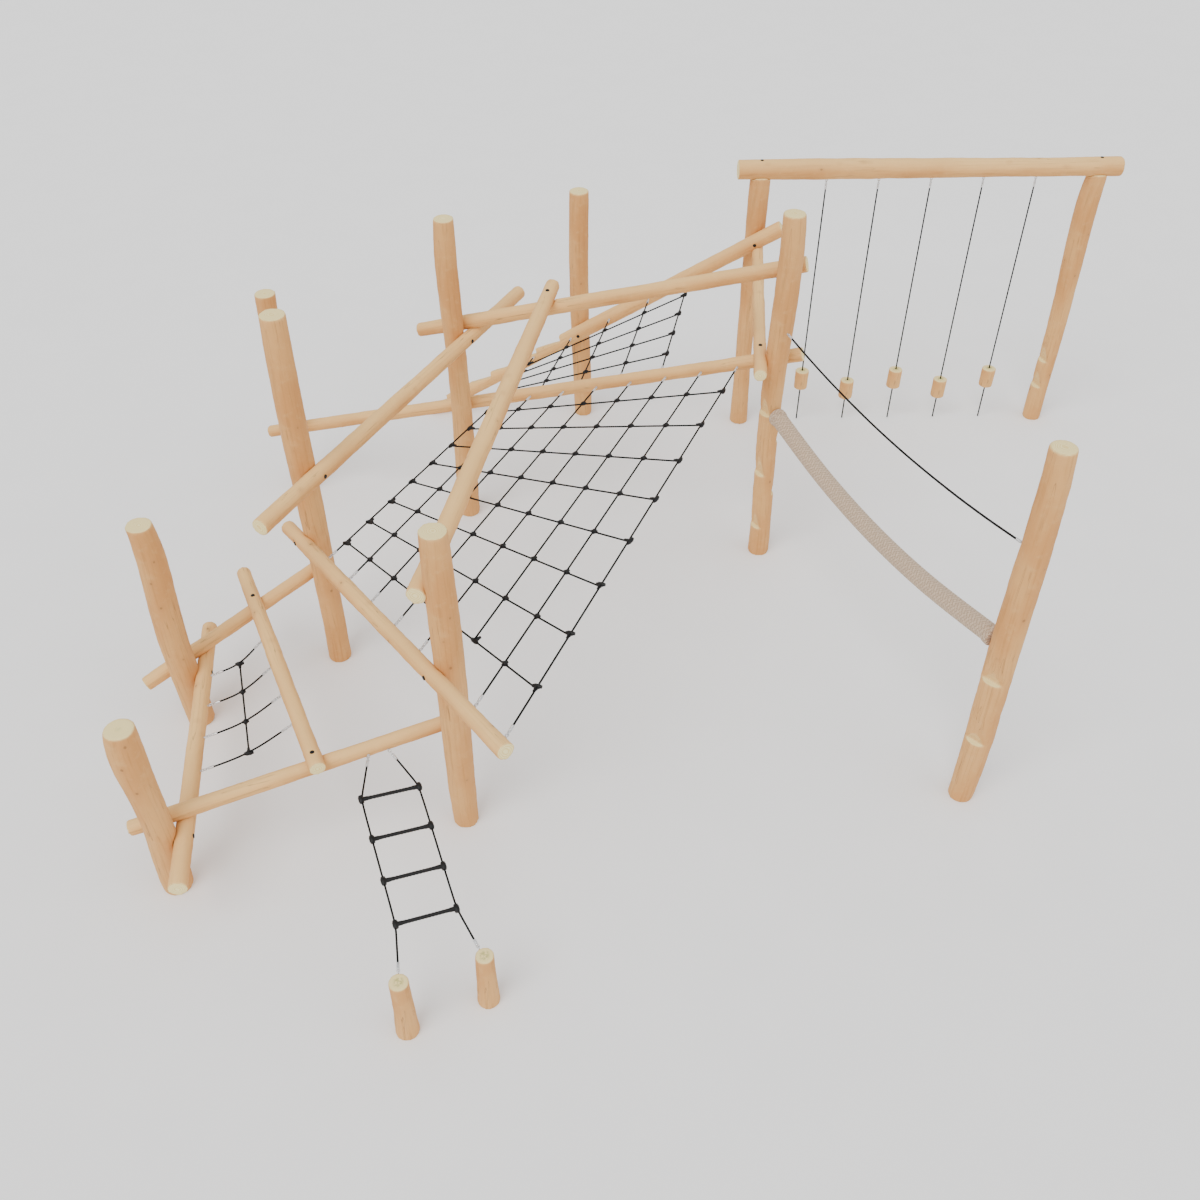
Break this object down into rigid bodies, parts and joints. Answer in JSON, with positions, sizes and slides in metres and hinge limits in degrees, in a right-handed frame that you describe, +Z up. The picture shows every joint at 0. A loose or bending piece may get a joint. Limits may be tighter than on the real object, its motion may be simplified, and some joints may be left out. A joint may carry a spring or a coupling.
{
  "type": "climbing course",
  "caption": "Low ropes climbing course of peeled logs with rope nets, rope ladder, hanging step ropes, a stepped ramp log and a thick balance rope with hand rope.",
  "frame": {"origin": "middle of the whole course's outline at ground level", "axes": "+Z up, +X to the right along the hanging step ropes' top log, +Y to the back"},
  "size_m": [9.4592, 8.2963, 3.695],
  "materials": {
    "peeled_post": "smooth peeled robinia, lightly oiled",
    "peeled_log": "smooth peeled robinia, paler",
    "step_block": "turned, sawn ends",
    "braided_rope": "coarse braided cover",
    "black_rope": "stranded rope with steel core",
    "black_plastic": "moulded, satin",
    "steel_fittings": "galvanised, dull bright"
  },
  "bodies": {
    "course": {"beam_01": "peeled_log", "beam_02": "peeled_log", "beam_03": "peeled_log", "beam_04": "peeled_log", "beam_05": "peeled_log", "beam_06": "peeled_log", "beam_07": "peeled_log", "beam_08": "peeled_log", "beam_09": "peeled_log", "beam_10": "peeled_log", "beam_11": "peeled_log", "beam_12": "peeled_log", "bolt_caps": "black_plastic", "bolt_rods": "steel_fittings", "chain_links": "steel_fittings", "eye_screws": "steel_fittings", "ladder_ropes": "black_rope", "ladder_rungs": "black_plastic", "net_connectors": "black_plastic", "net_long_bay": "black_rope", "net_ramp_bay": "black_rope", "net_slack": "black_rope", "post_01": "peeled_post", "post_02": "peeled_post", "post_03": "peeled_post", "post_04": "peeled_post", "post_05": "peeled_post", "post_06": "peeled_post", "post_07": "peeled_post", "post_08": "peeled_post", "post_09": "peeled_post", "post_10": "peeled_post", "post_11": "peeled_post", "rope_sleeves": "steel_fittings", "stump_12": "peeled_post", "stump_13": "peeled_post"},
    "swing_1_shackle": {"swing_1_link": "steel_fittings"},
    "swing_1": {"swing_1_sleeve": "steel_fittings", "swing_1_rope": "black_rope", "swing_1_block": "step_block"},
    "swing_2_shackle": {"swing_2_link": "steel_fittings"},
    "swing_2": {"swing_2_sleeve": "steel_fittings", "swing_2_rope": "black_rope", "swing_2_block": "step_block"},
    "swing_3_shackle": {"swing_3_link": "steel_fittings"},
    "swing_3": {"swing_3_sleeve": "steel_fittings", "swing_3_rope": "black_rope", "swing_3_block": "step_block"},
    "swing_4_shackle": {"swing_4_link": "steel_fittings"},
    "swing_4": {"swing_4_sleeve": "steel_fittings", "swing_4_rope": "black_rope", "swing_4_block": "step_block"},
    "swing_5_shackle": {"swing_5_link": "steel_fittings"},
    "swing_5": {"swing_5_sleeve": "steel_fittings", "swing_5_rope": "black_rope", "swing_5_block": "step_block"},
    "balance_rope": {"balance_rope": "braided_rope", "balance_collars": "braided_rope"},
    "hand_rope": {"hand_rope": "black_rope", "hand_rope_sleeves": "steel_fittings"}
  },
  "joints": [
    {"name": "swing_1_front_back", "type": "hinge", "parent": "course", "child": "swing_1_shackle", "pos_m": [1.65515, 3.87753, 2.93549], "axis": [0.9997, 0.0229, 0], "range_deg": [-35, 35]},
    {"name": "swing_1_side", "type": "hinge", "parent": "swing_1_shackle", "child": "swing_1", "pos_m": [1.65515, 3.87753, 2.91229], "axis": [-0.0229, 0.9997, 0], "range_deg": [-3.5, 3.5]},
    {"name": "swing_2_front_back", "type": "hinge", "parent": "course", "child": "swing_2_shackle", "pos_m": [2.20601, 3.89013, 2.93492], "axis": [0.9997, 0.0229, 0], "range_deg": [-35, 35]},
    {"name": "swing_2_side", "type": "hinge", "parent": "swing_2_shackle", "child": "swing_2", "pos_m": [2.20601, 3.89013, 2.91172], "axis": [-0.0229, 0.9997, 0], "range_deg": [-3.5, 3.5]},
    {"name": "swing_3_front_back", "type": "hinge", "parent": "course", "child": "swing_3_shackle", "pos_m": [2.75687, 3.90272, 2.93821], "axis": [0.9997, 0.0229, 0], "range_deg": [-35, 35]},
    {"name": "swing_3_side", "type": "hinge", "parent": "swing_3_shackle", "child": "swing_3", "pos_m": [2.75687, 3.90272, 2.91501], "axis": [-0.0229, 0.9997, 0], "range_deg": [-3.5, 3.5]},
    {"name": "swing_4_front_back", "type": "hinge", "parent": "course", "child": "swing_4_shackle", "pos_m": [3.30772, 3.91532, 2.94151], "axis": [0.9997, 0.0229, 0], "range_deg": [-35, 35]},
    {"name": "swing_4_side", "type": "hinge", "parent": "swing_4_shackle", "child": "swing_4", "pos_m": [3.30772, 3.91532, 2.91831], "axis": [-0.0229, 0.9997, 0], "range_deg": [-3.5, 3.5]},
    {"name": "swing_5_front_back", "type": "hinge", "parent": "course", "child": "swing_5_shackle", "pos_m": [3.85858, 3.92792, 2.9406], "axis": [0.9997, 0.0229, 0], "range_deg": [-35, 35]},
    {"name": "swing_5_side", "type": "hinge", "parent": "swing_5_shackle", "child": "swing_5", "pos_m": [3.85858, 3.92792, 2.9174], "axis": [-0.0229, 0.9997, 0], "range_deg": [-3.5, 3.5]},
    {"name": "balance_rope_sway", "type": "hinge", "parent": "course", "child": "balance_rope", "pos_m": [0.91798, 1.38304, 1.725], "axis": [0.4, -0.9165, -0.0028], "range_deg": [-12, 12]},
    {"name": "hand_rope_sway", "type": "hinge", "parent": "course", "child": "hand_rope", "pos_m": [0.99394, 1.2555, 2.59675], "axis": [0.3953, -0.9185, 0.0126], "range_deg": [-20, 20]}
  ]
}
